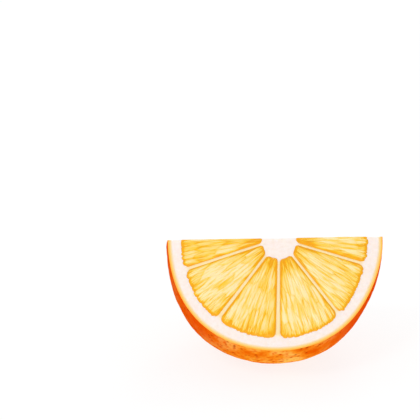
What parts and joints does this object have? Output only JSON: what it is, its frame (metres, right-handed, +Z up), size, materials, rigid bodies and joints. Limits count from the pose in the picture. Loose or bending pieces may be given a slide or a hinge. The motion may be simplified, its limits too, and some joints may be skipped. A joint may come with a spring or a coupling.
{
  "type": "orange wedge",
  "caption": "Quarter of an orange resting on its skin, with a half-round cut face of juicy segments round a white core and a second cut along the core.",
  "frame": {"origin": "middle of the bounding box's base, on the surface that the wedge rests on", "axes": "+X along the straight ridge between the two cuts, +Z up; the half-round cut face looks towards -Y and up, and the second cut towards +Y and up"},
  "size_m": [0.0764, 0.059, 0.0435],
  "materials": {
    "skin": "satin",
    "pith": "matte",
    "flesh": "gloss"
  },
  "bodies": {
    "root": {"orange_wedge": "skin"}
  },
  "joints": []
}
